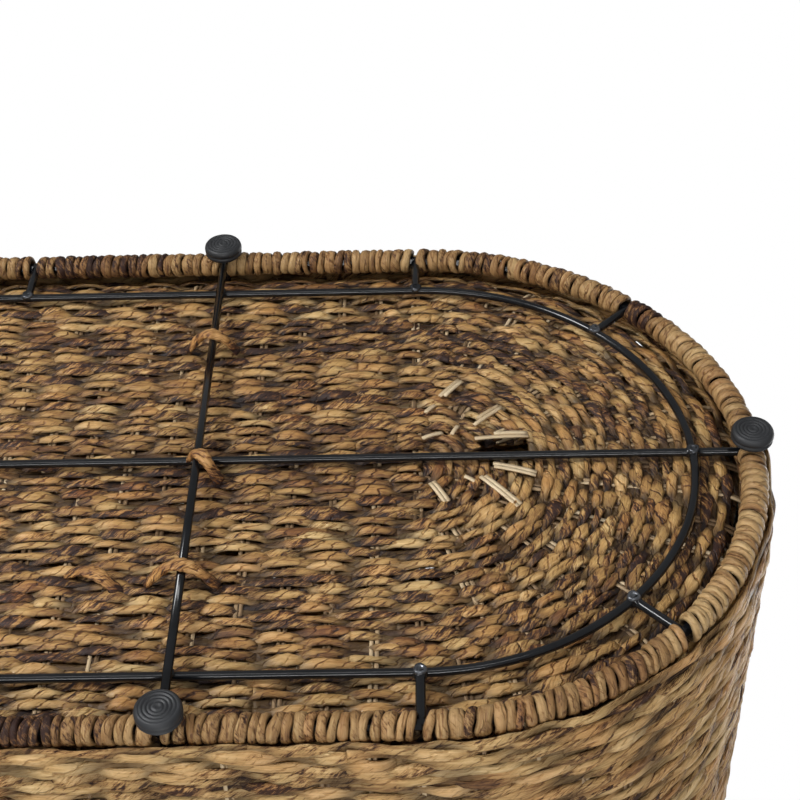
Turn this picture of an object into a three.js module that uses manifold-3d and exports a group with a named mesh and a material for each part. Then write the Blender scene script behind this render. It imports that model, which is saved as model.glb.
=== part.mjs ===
// A wicker storage trunk with round ends: a black steel wire frame, panels and walls woven
// from twisted leaf strands over paired splints, wrapped rims, six rubber feet and a hinged lid.
// Millimetres, +Z up. The origin is on the floor under the middle of the trunk; +X runs along
// its length and the hinges are on the +Y side.

import * as THREE from 'three';
import { mergeVertices } from 'three/addons/utils/BufferGeometryUtils.js';
import Module from 'manifold-3d';

// ---- driving dimensions ----
const HALF_STRAIGHT = 256;      // centre of each half-round end, from the middle
const ARC_STEPS = 16;           // facets round each half-round end
const GAP = 0.3;                // clearance between pieces that touch

const RING_RADIUS = 193;        // centre line of the three ring rods at the ends
const RING_ROD_RADIUS = 3;
const WRAP_RADIUS = 8.6;        // outside of the strand wrapped round a ring rod
const OVAL_RADIUS = 160;        // centre line of the inner oval wire
const WIRE_RADIUS = 2.5;
const CROSS_X = HALF_STRAIGHT / 2;

const FOOT_HEIGHT = 9;
const FOOT_RADIUS = 12.2;
const BASE_Z = FOOT_HEIGHT + 0.5 + WRAP_RADIUS;              // base ring and oval wire
const CROSS_Z = BASE_Z - 2 * WIRE_RADIUS - GAP;              // cross wires lie under them
const BODY_RIM_Z = 340;
const LID_RIM_Z = BODY_RIM_Z + 2 * WRAP_RADIUS + 0.8;
const SEAM_Z = (BODY_RIM_Z + LID_RIM_Z) / 2;

const WEAVE = 7.2;              // thickness of a flat woven panel
const BOTTOM_Z = 23.3;          // underside of the bottom panel
const WALL_IN = 199;            // wall faces, as radii at the ends
const WALL_OUT = 207.5;
const WALL_LOW = 26.5;          // the wall's lower edge, just clear of the base wrap
const LID_TOP_Z = 412.6;
const LID_UNDER_Z = LID_TOP_Z - WEAVE;
const HOOP_BEND = 22;           // bend radius of the lid's hoops

const TIE_REACH = 14;           // half the span of a strand that lashes a cross wire
const TIE_RADIUS = 2.4;
const TIE_PLACES = [['front', -107, 0], ['middle', 0, 45], ['back', 83, 0]];  // y, degrees

const HINGE_X = 150;
const HINGE_Y = WALL_OUT - 4.2;
const KNUCKLE_RADIUS = 4.2;
const PIN_RADIUS = 2;
const LEAF_LENGTH = 30;
const LEAF_THICKNESS = 2.5;
const MIDDLE_KNUCKLE = 9.4;

// ---- colours ----
const BLACK_STEEL = { color: 0x23262a, roughness: 0.38, metalness: 0.6 };
const RUBBER = { color: 0x3a3c40, roughness: 0.75, metalness: 0 };
const STRAND = { color: 0x8a6334, roughness: 0.8, metalness: 0 };
const WRAP_STRAND = { color: 0xb0905c, roughness: 0.75, metalness: 0 };
const ZINC_STEEL = { color: 0x8d9196, roughness: 0.35, metalness: 0.9 };

const trunk = new THREE.Group();
const wasm = await Module();
wasm.setup();

function addPiece(name, geometry, look) {
  const mesh = new THREE.Mesh(geometry, new THREE.MeshStandardMaterial(look));
  mesh.name = name;
  trunk.add(mesh);
  return mesh;
}

// ---- joining and cutting ----
function toSolid(geometry) {
  const bare = geometry.clone();
  bare.deleteAttribute('normal');
  bare.deleteAttribute('uv');
  const merged = mergeVertices(bare, 1e-4);
  return new wasm.Manifold(new wasm.Mesh({
    numProp: 3,
    vertProperties: new Float32Array(merged.attributes.position.array),
    triVerts: new Uint32Array(merged.index.array),
  }));
}

function toGeometry(solid) {
  const mesh = solid.getMesh();
  const geometry = new THREE.BufferGeometry();
  geometry.setAttribute('position', new THREE.BufferAttribute(mesh.vertProperties, 3));
  geometry.setIndex(new THREE.BufferAttribute(mesh.triVerts, 1));
  return geometry;
}

function cut(geometry, tools) {
  const whole = toSolid(geometry);
  const rest = tools.reduce((solid, tool) => solid.subtract(toSolid(tool)), whole);
  return toGeometry(rest);
}

function join(geometries) {
  const solids = geometries.map(toSolid);
  return toGeometry(solids.reduce((solid, next) => solid.add(next)));
}

// ---- shapes that follow the trunk's plan ----

// Where the plan's outline of a given end radius passes at a given angle of the
// right-hand (side 1) or left-hand (side -1) half-round end.
function planPoint(side, radius, angle) {
  return [side * HALF_STRAIGHT + radius * Math.cos(angle), radius * Math.sin(angle)];
}

// An outline of [radius, height] points carried once round the plan. The outline runs
// counter-clockwise with radius to the right and height up; it closes on itself, or it
// starts and ends at radius 0, on the plan's middle line.
function carryRound(outline) {
  const onMiddle = outline[0][0] === 0;
  const stations = [];
  for (const side of [1, -1]) {
    for (let step = 0; step <= ARC_STEPS; step += 1) {
      stations.push([side, Math.PI * (step / ARC_STEPS - side / 2)]);
    }
  }
  const points = [];
  for (const [side, angle] of stations) {
    for (const [radius, height] of outline) {
      points.push([...planPoint(side, radius, angle), height]);
    }
  }
  const count = outline.length;
  const lastSpan = onMiddle ? count - 1 : count;
  const indices = [];
  const same = (a, b) => points[a].every((value, axis) => Math.abs(value - points[b][axis]) < 1e-9);
  const addTriangle = (a, b, c) => {
    if (!same(a, b) && !same(b, c) && !same(c, a)) indices.push(a, b, c);
  };
  for (let s = 0; s < stations.length; s += 1) {
    const here = s * count;
    const next = ((s + 1) % stations.length) * count;
    for (let p = 0; p < lastSpan; p += 1) {
      const q = (p + 1) % count;
      addTriangle(here + p, next + p, next + q);
      addTriangle(here + p, next + q, here + q);
    }
  }
  const geometry = new THREE.BufferGeometry();
  geometry.setAttribute('position', new THREE.Float32BufferAttribute(points.flat(), 3));
  geometry.setIndex(indices);
  return geometry;
}

// A ring of round section that follows the plan.
function ring(radius, height, sectionRadius, sides) {
  const outline = [];
  for (let i = 0; i < sides; i += 1) {
    const turn = (2 * Math.PI * i) / sides;
    outline.push([radius + sectionRadius * Math.cos(turn), height + sectionRadius * Math.sin(turn)]);
  }
  return carryRound(outline);
}

// A round bar between two points.
function bar(from, to, radius, sides) {
  const start = new THREE.Vector3(...from);
  const end = new THREE.Vector3(...to);
  const along = end.clone().sub(start);
  const geometry = new THREE.CylinderGeometry(radius, radius, along.length(), sides);
  const turn = new THREE.Quaternion().setFromUnitVectors(
    new THREE.Vector3(0, 1, 0), along.clone().normalize());
  geometry.applyQuaternion(turn);
  geometry.translate(...start.add(end).multiplyScalar(0.5).toArray());
  return geometry;
}

// A tube of round section along a smooth curve through the points.
function bentTube(points, radius, sides, steps) {
  const section = new THREE.Shape();
  for (let i = 0; i < sides; i += 1) {
    const turn = (2 * Math.PI * i) / sides;
    const place = [radius * Math.cos(turn), radius * Math.sin(turn)];
    if (i === 0) section.moveTo(...place);
    else section.lineTo(...place);
  }
  const path = new THREE.CatmullRomCurve3(points.map((point) => new THREE.Vector3(...point)));
  return new THREE.ExtrudeGeometry(section, { steps, extrudePath: path, bevelEnabled: false });
}

function block(low, high) {
  const geometry = new THREE.BoxGeometry(high[0] - low[0], high[1] - low[1], high[2] - low[2]);
  geometry.translate((low[0] + high[0]) / 2, (low[1] + high[1]) / 2, (low[2] + high[2]) / 2);
  return geometry;
}

// ---- places shared by feet, uprights and cross wires ----
const END = HALF_STRAIGHT + RING_RADIUS;
const POSTS = [
  ['front_left', -CROSS_X, -RING_RADIUS],
  ['front_right', CROSS_X, -RING_RADIUS],
  ['back_left', -CROSS_X, RING_RADIUS],
  ['back_right', CROSS_X, RING_RADIUS],
  ['left_end', -END, 0],
  ['right_end', END, 0],
];

// Directions in which short stubs tie the oval wire to the base ring: [name, side, degrees].
const STUBS = [
  ['left_end', -1, 180], ['right_end', 1, 0],
  ['left_front_corner', -1, 225], ['left_back_corner', -1, 135],
  ['right_front_corner', 1, -45], ['right_back_corner', 1, 45],
  ['left_front', -1, 270], ['left_back', -1, 90],
  ['right_front', 1, -90], ['right_back', 1, 90],
  ['middle_front', 0, -90], ['middle_back', 0, 90],
];
const STUB_IN = OVAL_RADIUS + WIRE_RADIUS + GAP;
const STUB_OUT = RING_RADIUS - RING_ROD_RADIUS - GAP;
const CROSS_END = RING_RADIUS - RING_ROD_RADIUS + 0.5;

function stubBar(side, degrees, from, to, radius, sides) {
  const angle = THREE.MathUtils.degToRad(degrees);
  const start = [...planPoint(side, from, angle), BASE_Z];
  const end = [...planPoint(side, to, angle), BASE_Z];
  return bar(start, end, radius, sides);
}

// ---- base frame: ring rod, oval wire, long wire, cross wires and stubs, welded ----
function addBaseFrame() {
  addPiece('base_ring_rod', ring(RING_RADIUS, BASE_Z, RING_ROD_RADIUS, 6), BLACK_STEEL);
  addPiece('inner_oval_wire', ring(OVAL_RADIUS, BASE_Z, WIRE_RADIUS, 8), BLACK_STEEL);
  const longEnd = HALF_STRAIGHT + OVAL_RADIUS - WIRE_RADIUS - GAP;
  addPiece('long_wire', bar([-longEnd, 0, BASE_Z], [longEnd, 0, BASE_Z], WIRE_RADIUS, 8), BLACK_STEEL);
  for (const [name, x] of [['cross_wire_left', -CROSS_X], ['cross_wire_right', CROSS_X]]) {
    const wire = bar([x, -CROSS_END, CROSS_Z], [x, CROSS_END, CROSS_Z], WIRE_RADIUS, 8);
    addPiece(name, wire, BLACK_STEEL);
  }
  for (const [name, side, degrees] of STUBS) {
    const stub = stubBar(side, degrees, STUB_IN, STUB_OUT, WIRE_RADIUS, 8);
    addPiece(`stub_${name}`, stub, BLACK_STEEL);
  }
}

// ---- uprights between the base ring rod and the top ring rod ----
function addUprights() {
  const low = BASE_Z + RING_ROD_RADIUS + GAP;
  const high = BODY_RIM_Z - RING_ROD_RADIUS - GAP;
  for (const [name, x, y] of POSTS) {
    addPiece(`upright_${name}`, bar([x, y, low], [x, y, high], WIRE_RADIUS, 8), BLACK_STEEL);
  }
  addPiece('top_ring_rod', ring(RING_RADIUS, BODY_RIM_Z, RING_ROD_RADIUS, 6), BLACK_STEEL);
}

// ---- rim wraps: strand wound round each ring rod, open where other pieces pass ----
const CHANNEL = WIRE_RADIUS + 0.4;
const PAST_WRAP = WRAP_RADIUS + 3.4;        // how far a cutting tool reaches out of a wrap

function wrapTube(height) {
  return ring(RING_RADIUS, height, WRAP_RADIUS, 10);
}

function rodChannel(height) {
  return ring(RING_RADIUS, height, RING_ROD_RADIUS + 0.8, 6);
}

function addBaseWrap() {
  const tools = [rodChannel(BASE_Z)];
  for (const [, side, degrees] of STUBS) {
    tools.push(stubBar(side, degrees, RING_RADIUS - PAST_WRAP, STUB_OUT + 1, CHANNEL, 8));
  }
  for (const x of [-CROSS_X, CROSS_X]) {
    for (const side of [-1, 1]) {
      const inside = [x, side * (RING_RADIUS - PAST_WRAP), CROSS_Z];
      tools.push(bar(inside, [x, side * (CROSS_END + 1), CROSS_Z], CHANNEL, 8));
    }
  }
  for (const [, x, y] of POSTS) {
    tools.push(bar([x, y, BASE_Z], [x, y, BASE_Z + PAST_WRAP], CHANNEL, 8));
    tools.push(bar([x, y, BASE_Z - PAST_WRAP], [x, y, BASE_Z], PIN_RADIUS + 0.5, 8));
  }
  addPiece('base_rim_wrap', cut(wrapTube(BASE_Z), tools), WRAP_STRAND);
}

function leafSlot(x, height) {
  const half = LEAF_LENGTH / 2 + 0.4;
  const thick = LEAF_THICKNESS / 2 + 0.4;
  return block([x - half, RING_RADIUS, height - thick], [x + half, HINGE_Y, height + thick]);
}

function addTopWrap() {
  const tools = [rodChannel(BODY_RIM_Z)];
  for (const [, x, y] of POSTS) {
    tools.push(bar([x, y, BODY_RIM_Z - PAST_WRAP], [x, y, BODY_RIM_Z], CHANNEL, 8));
  }
  for (const x of [-HINGE_X, HINGE_X]) tools.push(leafSlot(x, BODY_RIM_Z));
  addPiece('top_rim_wrap', cut(wrapTube(BODY_RIM_Z), tools), WRAP_STRAND);
}

// ---- woven panels: strands over and under paired splints, as plain shells ----
function addBottomWeave() {
  const top = BOTTOM_Z + WEAVE;
  const edge = WALL_IN - GAP;
  const flat = 168;                         // past this the panel turns up to meet the wall
  const panel = carryRound([
    [0, BOTTOM_Z], [flat, BOTTOM_Z], [flat + 14, BOTTOM_Z + 2.2], [edge, top + 4.5],
    [edge, top + 12.5], [flat + 22, top + 6.5], [flat + 12, top + 2.5], [flat, top], [0, top],
  ]);
  const holes = POSTS.map(([, x, y]) => bar([x, y, BOTTOM_Z - 3], [x, y, top + 20], CHANNEL, 8));
  addPiece('bottom_weave', cut(panel, holes), STRAND);
}

function addSideWeave() {
  const high = BODY_RIM_Z - WRAP_RADIUS - 0.4;
  addPiece('side_weave', carryRound([
    [WALL_IN, WALL_LOW], [WALL_OUT - 2, WALL_LOW], [WALL_OUT, WALL_LOW + 3],
    [WALL_OUT, high - 3], [WALL_OUT - 2, high], [WALL_IN, high],
  ]), STRAND);
}

// ---- ties: a loop of strand that lashes each cross wire to the bottom panel ----
function addTies() {
  const rise = BOTTOM_Z - 2;
  const dip = CROSS_Z - WIRE_RADIUS - TIE_RADIUS - 0.7;
  for (const [side, x] of [['left', -CROSS_X], ['right', CROSS_X]]) {
    for (const [name, y, degrees] of TIE_PLACES) {
      const turn = THREE.MathUtils.degToRad(degrees);
      const at = (reach, z) => [x + reach * Math.cos(turn), y + reach * Math.sin(turn), z];
      const route = [at(-TIE_REACH, rise), at(-10.5, dip + 6.8), at(-5, dip + 1.3), at(0, dip),
        at(5, dip + 1.3), at(10.5, dip + 6.8), at(TIE_REACH, rise)];
      addPiece(`tie_${side}_${name}`, bentTube(route, TIE_RADIUS, 6, 12), STRAND);
    }
  }
}

// ---- feet: a rubber pad on a steel stud under the base ring ----
function addFeet() {
  const socket = PIN_RADIUS + 0.4;
  const socketFloor = 2.2;
  const profile = [
    [0, 0], [10.4, 0], [11.7, 1], [FOOT_RADIUS, 3], [FOOT_RADIUS, 6.6], [11, 8.6], [10, FOOT_HEIGHT],
    [socket, FOOT_HEIGHT], [socket, socketFloor], [0, socketFloor],
  ].map(([radius, height]) => new THREE.Vector2(radius, height));
  for (const [name, x, y] of POSTS) {
    const pad = new THREE.LatheGeometry(profile, 16);
    pad.rotateX(Math.PI / 2);
    pad.translate(x, y, 0);
    addPiece(`foot_pad_${name}`, pad, RUBBER);
    const studTop = BASE_Z - RING_ROD_RADIUS - GAP;
    const stud = bar([x, y, socketFloor + GAP], [x, y, studTop], PIN_RADIUS, 8);
    addPiece(`foot_stud_${name}`, stud, BLACK_STEEL);
  }
}

// ---- lid: wrapped ring rod, two bent hoops and one woven shell ----
function addLid() {
  addPiece('lid_ring_rod', ring(RING_RADIUS, LID_RIM_Z, RING_ROD_RADIUS, 6), BLACK_STEEL);
  const tools = [rodChannel(LID_RIM_Z)];
  for (const x of [-HINGE_X, HINGE_X]) tools.push(leafSlot(x, LID_RIM_Z));
  const foot = LID_RIM_Z + RING_ROD_RADIUS + GAP;
  const under = LID_UNDER_Z - WIRE_RADIUS - 2 * GAP;
  for (const [name, x] of [['left', -CROSS_X], ['right', CROSS_X]]) {
    const half = [[RING_RADIUS, foot], [RING_RADIUS, under - HOOP_BEND]];
    for (const degrees of [30, 60, 90]) {
      const turn = THREE.MathUtils.degToRad(degrees);
      half.push([RING_RADIUS - HOOP_BEND * (1 - Math.cos(turn)),
        under - HOOP_BEND * (1 - Math.sin(turn))]);
    }
    half.push([150, under], [75, under]);
    const back = half.map(([y, z]) => [x, y, z]);
    const front = half.map(([y, z]) => [x, -y, z]).reverse();
    addPiece(`lid_hoop_${name}`, bentTube([...back, [x, 0, under], ...front], WIRE_RADIUS, 6, 36),
      BLACK_STEEL);
    for (const y of [-RING_RADIUS, RING_RADIUS]) {
      tools.push(bar([x, y, LID_RIM_Z], [x, y, LID_RIM_Z + PAST_WRAP], CHANNEL, 8));
    }
  }
  addPiece('lid_rim_wrap', cut(wrapTube(LID_RIM_Z), tools), WRAP_STRAND);
  const skirt = LID_RIM_Z + WRAP_RADIUS + 0.6;
  addPiece('lid_weave', carryRound([
    [0, LID_UNDER_Z], [174, LID_UNDER_Z], [190, LID_UNDER_Z - 4.8], [197, LID_UNDER_Z - 15],
    [WALL_IN, LID_UNDER_Z - 27], [WALL_IN, skirt], [WALL_OUT - 2, skirt], [WALL_OUT, skirt + 3],
    [WALL_OUT, LID_TOP_Z - 32], [204.5, LID_TOP_Z - 16], [194, LID_TOP_Z - 4.6],
    [178, LID_TOP_Z], [0, LID_TOP_Z],
  ]), STRAND);
}

// ---- hinges: two leaves welded to the ring rods, turning on a pin in the rims' groove ----
function knuckle(x, length) {
  const half = length / 2;
  return bar([x - half, HINGE_Y, SEAM_Z], [x + half, HINGE_Y, SEAM_Z], KNUCKLE_RADIUS, 16);
}

function hingeLeaf(x, rodZ, knuckles) {
  const rodFace = RING_RADIUS + RING_ROD_RADIUS + GAP;
  const outer = WALL_OUT - 0.3;
  const inner = outer - LEAF_THICKNESS;
  const half = LEAF_LENGTH / 2;
  const thick = LEAF_THICKNESS / 2;
  const parts = [block([x - half, rodFace, rodZ - thick], [x + half, outer, rodZ + thick])];
  const towards = Math.sign(SEAM_Z - rodZ);
  const low = Math.min(rodZ, SEAM_Z - towards * 2.6);
  const high = Math.max(rodZ, SEAM_Z - towards * 2.6);
  for (const [offset, length] of knuckles) {
    parts.push(knuckle(x + offset, length));
    const from = x + offset - length / 2;
    parts.push(block([from, inner, low], [from + length, outer, high]));
  }
  const bore = bar([x - half - 2, HINGE_Y, SEAM_Z], [x + half + 2, HINGE_Y, SEAM_Z],
    PIN_RADIUS + 0.4, 12);
  return cut(join(parts), [bore]);
}

function addHinges() {
  const outerLength = (LEAF_LENGTH - MIDDLE_KNUCKLE) / 2 - 0.5;
  const outerOffset = (LEAF_LENGTH - outerLength) / 2;
  for (const [name, x] of [['left', -HINGE_X], ['right', HINGE_X]]) {
    const outerPair = [[-outerOffset, outerLength], [outerOffset, outerLength]];
    addPiece(`hinge_${name}_body_leaf`, hingeLeaf(x, BODY_RIM_Z, outerPair), ZINC_STEEL);
    addPiece(`hinge_${name}_lid_leaf`, hingeLeaf(x, LID_RIM_Z, [[0, MIDDLE_KNUCKLE]]), ZINC_STEEL);
    const reach = LEAF_LENGTH / 2 + 1;
    const pin = bar([x - reach, HINGE_Y, SEAM_Z], [x + reach, HINGE_Y, SEAM_Z], PIN_RADIUS, 12);
    addPiece(`hinge_${name}_pin`, pin, ZINC_STEEL);
  }
}

addBaseFrame();
addUprights();
addBaseWrap();
addTopWrap();
addBottomWeave();
addSideWeave();
addTies();
addFeet();
addLid();
addHinges();

export default trunk;
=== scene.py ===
"""A wicker storage trunk with round ends: a welded black wire base, splints, twisted leaf strands
woven over and under them, wrapped rims, rubber feet and a hinged lid. The sections follow the
order in which it is put together. Metres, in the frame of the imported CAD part."""

import math

import bpy
import numpy as np
from mathutils import Matrix, Vector


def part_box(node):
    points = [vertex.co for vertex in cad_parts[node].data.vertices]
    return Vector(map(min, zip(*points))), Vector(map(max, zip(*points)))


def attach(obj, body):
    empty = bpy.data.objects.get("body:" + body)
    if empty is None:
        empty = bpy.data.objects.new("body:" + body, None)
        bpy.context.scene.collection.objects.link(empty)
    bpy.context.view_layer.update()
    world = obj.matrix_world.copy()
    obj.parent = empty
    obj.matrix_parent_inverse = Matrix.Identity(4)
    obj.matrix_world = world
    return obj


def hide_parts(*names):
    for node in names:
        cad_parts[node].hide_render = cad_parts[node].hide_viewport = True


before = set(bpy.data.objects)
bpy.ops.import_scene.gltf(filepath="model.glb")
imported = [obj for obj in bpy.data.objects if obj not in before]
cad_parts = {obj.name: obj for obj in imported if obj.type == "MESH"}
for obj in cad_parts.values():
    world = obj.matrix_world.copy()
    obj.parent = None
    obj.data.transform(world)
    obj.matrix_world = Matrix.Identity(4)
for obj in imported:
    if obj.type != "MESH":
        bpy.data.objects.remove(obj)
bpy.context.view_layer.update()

# ---------------------------------------------------------------------------------------------
# Camera. The trunk stands upright in its frame and is looked at from under its base, with the
# camera held upside down, as if the trunk lay on its lid in front of the viewer.
# ---------------------------------------------------------------------------------------------
CAMERA_PLACE = (0.2611, 0.6860, -0.6243)
CAMERA_LOOK = (-0.0157, -0.75369, 0.65704)
CAMERA_TOP = (0.01834, -0.65723, -0.75347)
CAMERA_LENS = 72.5

camera_data = bpy.data.cameras.new("camera")
camera = bpy.data.objects.new("camera", camera_data)
bpy.context.scene.collection.objects.link(camera)
gaze = Vector(CAMERA_LOOK).normalized()
side = gaze.cross(Vector(CAMERA_TOP)).normalized()
turn = Matrix((side, side.cross(gaze), -gaze)).transposed()
camera.matrix_world = Matrix.Translation(CAMERA_PLACE) @ turn.to_4x4()
camera_data.lens = CAMERA_LENS
camera_data.sensor_width = 36
camera_data.clip_start = 0.02
camera_data.clip_end = 50
bpy.context.scene.camera = camera

# ---------------------------------------------------------------------------------------------
# Floor and light. A pale floor that only shows from above and brightens into the white studio
# with distance, and large soft lamps above and below it, so that the base of the trunk is lit
# as well as its lid.
# ---------------------------------------------------------------------------------------------
FLOOR_HALF = 40.0
FLOOR_FADE = (0.5, 3.2)     # the floor turns from plain to glowing white over this distance
STUDIO_GLOW = 0.27


def new_material(name):
    """A new node material, with its tree and its Principled shader."""
    material = bpy.data.materials.new(name)
    material.use_nodes = True
    tree = material.node_tree
    return material, tree, tree.nodes["Principled BSDF"]


floor_mesh = bpy.data.meshes.new("floor")
floor_mesh.from_pydata(
    [(-FLOOR_HALF, -FLOOR_HALF, 0), (FLOOR_HALF, -FLOOR_HALF, 0), (FLOOR_HALF, FLOOR_HALF, 0),
     (-FLOOR_HALF, FLOOR_HALF, 0)], [], [(0, 1, 2, 3)])
floor = bpy.data.objects.new("floor", floor_mesh)
bpy.context.scene.collection.objects.link(floor)
for ray_kind in ("shadow", "diffuse", "glossy", "transmission"):
    setattr(floor, f"visible_{ray_kind}", False)
floor_material, tree, shader = new_material("pale_floor")
shader.inputs["Base Color"].default_value = (0.86, 0.86, 0.85, 1)
shader.inputs["Roughness"].default_value = 0.9
away = tree.nodes.new("ShaderNodeVectorMath")
away.operation = "LENGTH"
floor_place = tree.nodes.new("ShaderNodeTexCoord")
tree.links.new(floor_place.outputs["Object"], away.inputs[0])
fade = tree.nodes.new("ShaderNodeMapRange")
fade.interpolation_type = "SMOOTHSTEP"
fade.inputs["From Min"].default_value, fade.inputs["From Max"].default_value = FLOOR_FADE
tree.links.new(away.outputs["Value"], fade.inputs["Value"])
shader.inputs["Emission Color"].default_value = (1, 1, 1, 1)
tree.links.new(fade.outputs["Result"], shader.inputs["Emission Strength"])
clear = tree.nodes.new("ShaderNodeBsdfTransparent")
one_side = tree.nodes.new("ShaderNodeNewGeometry")
either = tree.nodes.new("ShaderNodeMixShader")
tree.links.new(one_side.outputs["Backfacing"], either.inputs["Fac"])
tree.links.new(shader.outputs["BSDF"], either.inputs[1])
tree.links.new(clear.outputs["BSDF"], either.inputs[2])
tree.links.new(either.outputs["Shader"], tree.nodes["Material Output"].inputs["Surface"])
floor_mesh.materials.append(floor_material)

world = bpy.data.worlds.new("studio")
bpy.context.scene.world = world
world.use_nodes = True
tree = world.node_tree
seen = tree.nodes.new("ShaderNodeBackground")
seen.inputs["Color"].default_value = (1, 1, 1, 1)
seen.inputs["Strength"].default_value = 1.0
glow = tree.nodes["Background"]
glow.inputs["Color"].default_value = (1, 1, 1, 1)
glow.inputs["Strength"].default_value = STUDIO_GLOW
ray = tree.nodes.new("ShaderNodeLightPath")
either = tree.nodes.new("ShaderNodeMixShader")
tree.links.new(ray.outputs["Is Camera Ray"], either.inputs["Fac"])
tree.links.new(glow.outputs["Background"], either.inputs[1])
tree.links.new(seen.outputs["Background"], either.inputs[2])
tree.links.new(either.outputs["Shader"], tree.nodes["World Output"].inputs["Surface"])


def soft_lamp(name, place, aim, size, power, length=None):
    """A square area lamp at a place, turned so that it shines at a point. A lamp with a length
    is a strip that long from side to side."""
    lamp_data = bpy.data.lights.new(name, "AREA")
    lamp_data.shape = "RECTANGLE"
    lamp_data.size = length or size
    lamp_data.size_y = size
    lamp_data.energy = power
    lamp = bpy.data.objects.new(name, lamp_data)
    bpy.context.scene.collection.objects.link(lamp)
    lamp.location = place
    lamp.rotation_euler = (Vector(aim) - Vector(place)).to_track_quat("-Z", "Y").to_euler()


soft_lamp("base_key", (-1.15, 0.2, -1.55), (0.1, 0.0, 0.0), 0.7, 27)
soft_lamp("base_front", (0.05, 2.08, -0.85), (0.1, 0.0, 0.05), 0.12, 17, 2.0)
soft_lamp("base_top", (0.05, 0.5, -1.75), (0.1, 0.0, 0.0), 0.1, 6, 2.0)
soft_lamp("lid_key", (-1.1, -1.5, 2.2), (0.0, 0.0, 0.3), 1.2, 48)
soft_lamp("lid_fill", (1.8, -1.2, 1.2), (0.0, 0.0, 0.2), 1.5, 20)
soft_lamp("lid_back", (0.6, 2.4, 1.9), (0.0, 0.0, 0.2), 1.5, 20)
bpy.context.scene.view_settings.view_transform = "Standard"

# ---------------------------------------------------------------------------------------------
# Base frame. Round steel wire, bent and welded: an oval inside the rim, one long wire, two cross
# wires under them, and short stubs to the rim's rod, with six uprights to the top rim. All of
# it is powder coated black. The rods inside the rims keep their CAD shape.
# ---------------------------------------------------------------------------------------------
WIRE_SIDES = 16


def box_middle(node_name):
    """The middle of a CAD node's box, as x, y and z."""
    low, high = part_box(node_name)
    return [(a + b) / 2 for a, b in zip(low, high)]


rim_low, rim_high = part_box("base_ring_rod")
oval_low, oval_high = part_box("inner_oval_wire")
WIRE = (oval_high.z - oval_low.z) / 2
ROD = (rim_high.z - rim_low.z) / 2
HALF_STRAIGHT = oval_high.x - oval_high.y
OVAL_RADIUS = oval_high.y - WIRE
RIM_RADIUS = rim_high.y - ROD
BASE_HEIGHT = box_middle("inner_oval_wire")[2]
CROSS_X, _, CROSS_HEIGHT = box_middle("cross_wire_right")
CROSS_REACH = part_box("cross_wire_right")[1].y


def sweep(path, first, second, reach_first, reach_second, sides, start_angle=0.0):
    """Rings of a section carried along a path: path + first·a·cos(angle) + second·b·sin(angle),
    where a and b are the section's half sizes: one number, one for each point of the path, or
    one for each corner of each ring. Faces point outwards where first × second runs along the
    path. Gives an array of rings by sides by 3."""
    angle = start_angle + np.linspace(0, 2 * np.pi, sides, endpoint=False)
    a, b = (np.asarray(reach, float) for reach in (reach_first, reach_second))
    a, b = (reach[:, None] if reach.ndim == 1 else reach for reach in (a, b))
    return (path[:, None, :] + first[:, None, :] * (a * np.cos(angle))[..., None]
            + second[:, None, :] * (b * np.sin(angle))[..., None])


def tube_piece(name, tubes, material, body, replaced=(), closed=False, pattern=None):
    """One mesh object from a list of tubes, each an array of rings by sides by 3. An open tube
    gets a flat face at both ends. pattern holds for each tube the distance along it at each
    ring, the distance round it at each side, and the leaf numbers of each ring and side: the
    first two become the strand UV map and the last the leaf attribute."""
    corners, sizes, uvs, colours = [], [], [], []
    start = 0
    for number, tube in enumerate(tubes):
        rings, sides = tube.shape[:2]
        spans = rings if closed else rings - 1
        ring, step = np.arange(spans)[:, None], np.arange(sides)[None, :]
        ahead, beside = (ring + 1) % rings, (step + 1) % sides
        quads = np.stack([ring * sides + step, ring * sides + beside,
                          ahead * sides + beside, ahead * sides + step], axis=-1)
        corners.append(quads.reshape(-1) + start)
        sizes.append(np.full(spans * sides, 4))
        if not closed:
            corners.append(np.arange(sides)[::-1] + start)
            corners.append(np.arange(sides) + (rings - 1) * sides + start)
            sizes.append([sides, sides])
        if pattern:
            along, around, leaf = pattern[number]
            u = np.stack([along[:-1], along[:-1], along[1:], along[1:]], axis=-1)[:, None, :]
            v = np.stack([around[:-1], around[1:], around[1:], around[:-1]], axis=-1)[None]
            uvs.append(np.stack(np.broadcast_arrays(u, v), axis=-1).reshape(-1, 2))
            if not closed:
                uvs.append(np.stack([np.full(sides, along[0]), around[-2::-1]], axis=-1))
                uvs.append(np.stack([np.full(sides, along[-1]), around[:-1]], axis=-1))
            colours.append(leaf.reshape(-1, 4))
        start += rings * sides
    corners = np.concatenate(corners)
    sizes = np.concatenate(sizes).astype(np.int32)
    mesh = bpy.data.meshes.new(name)
    mesh.vertices.add(start)
    points = np.concatenate([tube.reshape(-1) for tube in tubes])
    mesh.vertices.foreach_set("co", points.astype(np.float32))
    mesh.loops.add(len(corners))
    mesh.loops.foreach_set("vertex_index", corners.astype(np.int32))
    mesh.polygons.add(len(sizes))
    mesh.polygons.foreach_set("loop_start", (np.cumsum(sizes) - sizes).astype(np.int32))
    mesh.polygons.foreach_set("use_smooth", sizes == 4)
    if pattern:
        layer = mesh.uv_layers.new(name="strand")
        layer.data.foreach_set("uv", np.concatenate(uvs).astype(np.float32).ravel())
        leaf = mesh.attributes.new("leaf", "FLOAT_COLOR", "POINT")
        leaf.data.foreach_set("color", np.concatenate(colours).astype(np.float32).ravel())
    mesh.update(calc_edges=True)
    mesh.materials.append(material)
    piece = bpy.data.objects.new(name, mesh)
    bpy.context.scene.collection.objects.link(piece)
    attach(piece, body)
    if replaced:
        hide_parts(*replaced)
    return piece


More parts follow.
